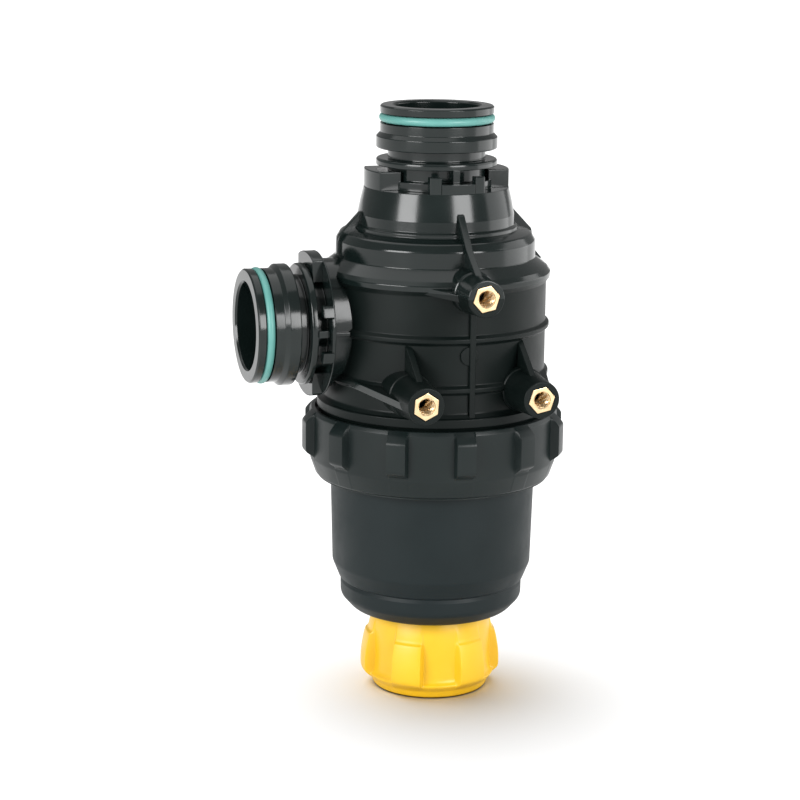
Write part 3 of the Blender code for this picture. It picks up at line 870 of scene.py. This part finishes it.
def build_screen(surface):
    """Woven wire: upright wires and rings that pass in and out of them."""
    low, high = box_mm("cartridge_screen")
    bottom, top = low[2], high[2]
    mesh = bmesh.new()
    uprights, rings = 144, 78
    wire, screen_r = 0.16, 38.65

    def add_tube(centres, sides_at, closed):
        loops = []
        for centre in centres:
            loops.append([mesh.verts.new(Vector(point) * MM) for point in sides_at(centre)])
        last = len(loops) if closed else len(loops) - 1
        for index in range(last):
            here, there = loops[index], loops[(index + 1) % len(loops)]
            for side in range(len(here)):
                after = (side + 1) % len(here)
                mesh.faces.new((here[side], here[after], there[after], there[side]))
        if not closed:
            mesh.faces.new(list(reversed(loops[0])))
            mesh.faces.new(loops[-1])

    for upright in range(uprights):
        angle = 2.0 * math.pi * upright / uprights
        centres = [(screen_r, angle, bottom + (top - bottom) * end) for end in (0.0, 1.0)]

        def upright_sides(centre):
            radius, turn, height = centre
            points = []
            for side in range(5):
                spin = 2.0 * math.pi * side / 5.0
                r = radius + wire * math.cos(spin)
                a = turn + wire * math.sin(spin) / radius
                points.append((r * math.sin(a), -r * math.cos(a), height))
            return points

        add_tube(centres, upright_sides, closed=False)
    for ring in range(rings):
        height = bottom + (top - bottom) * (ring + 0.5) / rings
        sign = 1.0 if ring % 2 else -1.0
        centres = []
        for step in range(uprights):
            offset = wire * (1.0 if step % 2 else -1.0) * sign
            centres.append((screen_r + offset, 2.0 * math.pi * step / uprights, height))

        def ring_sides(centre):
            radius, turn, level = centre
            points = []
            for side in range(4):
                spin = 2.0 * math.pi * (side + 0.5) / 4.0
                r = radius + wire * math.cos(spin)
                points.append((r * math.sin(turn), -r * math.cos(turn), level + wire * math.sin(spin)))
            return points

        add_tube(centres, ring_sides, closed=True)
    item = object_from("screen_wire", mesh)
    return finished(item, "cartridge", "cartridge_screen", surface, "cartridge_screen")


def build_top_collar(surface):
    profile = [
        (24.3, 199.6, 0.3),
        (24.3, 202.9, 0.2),
        (27.3, 202.9, 0.2),
        (27.3, 206.5, 0.2),
        (24.3, 206.5, 0.2),
        (24.3, 209.4, 0.6),
        (29.6, 209.4, 0.5),
        (30.4, 204.6, 1.0),
        (41.2, 204.0, 0.8),
        (41.2, 193.0, 0.4),
        (39.4, 193.0, 0.3),
        (39.4, 199.6, 0.2),
    ]
    item = lathe("collar_moulding", rounded(profile, closed=True), 144, closed=True)
    return finished(item, "cartridge", "cartridge_top_collar", surface, "cartridge_top_collar")


def build_bottom_cap(surface):
    profile = [
        (0.0, 63.0),
        (26.0, 61.0, 3.0),
        (40.2, 61.0, 0.6),
        (41.2, 62.0, 0.6),
        (41.2, 72.0, 0.4),
        (39.4, 72.0, 0.3),
        (39.4, 66.1, 0.2),
        (0.0, 66.1),
    ]
    item = lathe("end_cap_moulding", rounded(profile), 144)
    feet = []
    for foot in range(6):
        part = eased(block(f"foot_{foot}", (-3.0, -43.1, 61.4), (3.0, -40.4, 67.0)), 0.3)
        feet.append(placed(part, Matrix.Rotation(math.radians(60.0 * foot), 4, "Z")))
    combine(item, feet, "UNION")
    return finished(item, "cartridge", "cartridge_bottom_cap", surface, "cartridge_bottom_cap")


def build_rings():
    mint = rubber("mint_rubber", (0.078, 0.245, 0.22), (0.095, 0.28, 0.25), 0.42)
    black = rubber("seal_rubber", (0.008, 0.008, 0.008), (0.014, 0.014, 0.014), 0.5)
    top = round_ring("top_ring", 24.75, 1.9, -5.9)
    finished(placed(top, TOP_PORT), "head", "top_port_o_ring", mint, "top_port_o_ring")
    side = round_ring("side_ring", 24.75, 1.9, -5.9)
    finished(placed(side, SIDE_PORT), "head", "side_port_o_ring", mint, "side_port_o_ring")
    bowl = round_ring("bowl_ring", 47.45, 1.2, 121.2)
    finished(bowl, "bowl", "bowl_o_ring", black, "bowl_o_ring")
    seal = round_ring("cartridge_seal", 25.45, 1.45, 204.7)
    finished(seal, "cartridge", "cartridge_top_gasket", black, "cartridge_top_gasket")
    profile = [(18.4, 4.4, 0.5), (22.3, 4.4, 0.5), (22.3, 7.6, 0.5), (18.4, 7.6, 0.5)]
    gasket = lathe("cap_gasket", rounded(profile, closed=True), 96, closed=True)
    finished(gasket, "drain_gasket", "drain_cap_gasket", black, "drain_cap_gasket")


# ------------------------------------------------------------------ camera, light and floor

CAMERA_AZIMUTH = math.radians(18.3)
CAMERA_DISTANCE, CAMERA_HEIGHT = 1.0783, 0.3802
CAMERA_PITCH, CAMERA_YAW, CAMERA_ROLL = math.radians(12.664), math.radians(0.827), math.radians(0.638)
SENSOR = 36.0
CAMERA_FOCAL = 2.93625 * SENSOR
OBJECT_CEILING_POWER, FLOOR_CEILING_POWER, SURROUND_POWER = 1.15, 4.0, 0.34
FLOOR_REACH, FLOOR_TOP = 12e3, -0.4


def build_camera():
    eye = Vector((-math.sin(CAMERA_AZIMUTH), -math.cos(CAMERA_AZIMUTH), 0.0)) * CAMERA_DISTANCE
    eye.z = CAMERA_HEIGHT
    flat = Vector((math.sin(CAMERA_AZIMUTH), math.cos(CAMERA_AZIMUTH), 0.0))
    flat.rotate(Matrix.Rotation(CAMERA_YAW, 3, "Z"))
    right = Vector((flat.y, -flat.x, 0.0))
    forward = flat * math.cos(CAMERA_PITCH) - Vector((0.0, 0.0, 1.0)) * math.sin(CAMERA_PITCH)
    up = right.cross(forward)
    turned_right = right * math.cos(CAMERA_ROLL) + up * math.sin(CAMERA_ROLL)
    turned_up = up * math.cos(CAMERA_ROLL) - right * math.sin(CAMERA_ROLL)
    data = bpy.data.cameras.new("studio_camera")
    data.sensor_width = SENSOR
    data.lens = CAMERA_FOCAL
    data.clip_start = 0.01
    item = bpy.data.objects.new("studio_camera", data)
    columns = Matrix((turned_right, turned_up, -forward)).transposed().to_4x4()
    item.matrix_world = Matrix.Translation(eye) @ columns
    bpy.context.scene.collection.objects.link(item)
    bpy.context.scene.camera = item


def soft_box(name, azimuth, distance, height, width, tall, radiance, aim_height):
    """A panel light; azimuth is counted from the camera, positive to its right."""
    turn = CAMERA_AZIMUTH - math.radians(azimuth)
    place = Vector((-math.sin(turn), -math.cos(turn), 0.0)) * distance
    place.z = height
    data = bpy.data.lights.new(name, "AREA")
    data.shape = "RECTANGLE"
    data.size = width
    data.size_y = tall
    data.energy = radiance * math.pi * width * tall
    item = bpy.data.objects.new(name, data)
    aim = Vector((0.0, 0.0, aim_height)) - place
    item.rotation_euler = aim.to_track_quat("-Z", "Y").to_euler()
    item.location = place
    item.visible_camera = False
    bpy.context.scene.collection.objects.link(item)
    return item


def overhead(name, energy):
    """Wide light from above, the same over the whole scene."""
    data = bpy.data.lights.new(name, "SUN")
    data.energy = energy
    data.angle = math.radians(70.0)
    item = bpy.data.objects.new(name, data)
    item.rotation_euler = Vector((0.1, -0.25, -1.0)).to_track_quat("-Z", "Y").to_euler()
    bpy.context.scene.collection.objects.link(item)
    return item


def lit_only(lights, label, items):
    """Let these lights fall on these items alone."""
    group = bpy.data.collections.new(label)
    for item in items:
        group.objects.link(item)
    for light in lights:
        light.light_linking.receiver_collection = group


def build_studio():
    """Two softboxes in front, a dim wall at the right, light from above; returns the object's lights."""
    lights = [
        soft_box("left_box", -43.0, 1.10, 0.52, 0.56, 0.56, 12.5, 0.30),
        soft_box("right_box", 41.0, 1.10, 0.52, 0.56, 0.56, 11.0, 0.30),
        soft_box("right_wall", 108.0, 1.20, 0.45, 1.10, 1.00, 1.6, 0.20),
        overhead("object_ceiling", OBJECT_CEILING_POWER),
    ]
    world = bpy.data.worlds.new("studio")
    world.use_nodes = True
    world.node_tree.nodes["Background"].inputs["Color"].default_value = (1.0, 1.0, 1.0, 1.0)
    world.node_tree.nodes["Background"].inputs["Strength"].default_value = SURROUND_POWER
    bpy.context.scene.world = world
    bpy.context.scene.view_settings.view_transform = "Standard"
    corners = [(-FLOOR_REACH, -FLOOR_REACH, FLOOR_TOP), (FLOOR_REACH, -FLOOR_REACH, FLOOR_TOP)]
    corners += [(FLOOR_REACH, FLOOR_REACH, FLOOR_TOP), (-FLOOR_REACH, FLOOR_REACH, FLOOR_TOP)]
    floor = extruded("floor", corners, (0.0, 0.0, -4.0))
    surface, _, shader = new_material("floor_paint")
    shader.inputs["Base Color"].default_value = (0.88, 0.88, 0.88, 1.0)
    shader.inputs["Roughness"].default_value = 0.9
    floor.data.materials.append(surface)
    lit_only([overhead("floor_ceiling", FLOOR_CEILING_POWER)], "floor_light", [floor])
    return lights


# ------------------------------------------------------------------ assembly

build_camera()
object_lights = build_studio()
build_head(*head_materials())
brass = metal("brass", (0.74, 0.54, 0.30), (0.84, 0.64, 0.40), 0.24, 0.38)
for node_name in INSERT_NODES:
    build_insert(node_name, brass)
nut_black = moulded("nut_plastic", (0.0042, 0.0080, 0.0078), (0.0062, 0.0105, 0.0102), (0.32, 0.42))
build_ring_nut(set_specular(nut_black, 0.25))
dark, light = (0.0055, 0.0100, 0.0108), (0.0078, 0.0130, 0.0140)
bowl_black = moulded("bowl_plastic", dark, light, (0.44, 0.56), 3600.0, 0.00005, 0.5)
build_bowl(set_specular(bowl_black, 0.20))
dark, light = (0.73, 0.43, 0.008), (0.79, 0.47, 0.012)
build_drain_cap(moulded("cap_plastic", dark, light, (0.32, 0.44), 1800.0, 0.00002, 0.2))
blue = moulded("cartridge_plastic", (0.07, 0.17, 0.38), (0.09, 0.21, 0.44), (0.32, 0.46))
build_cage(blue)
build_top_collar(blue)
build_bottom_cap(blue)
build_screen(metal("stainless_wire", (0.55, 0.55, 0.54), (0.68, 0.68, 0.67), 0.22, 0.34))
build_rings()
lit_only(object_lights, "object_light", PIECES)
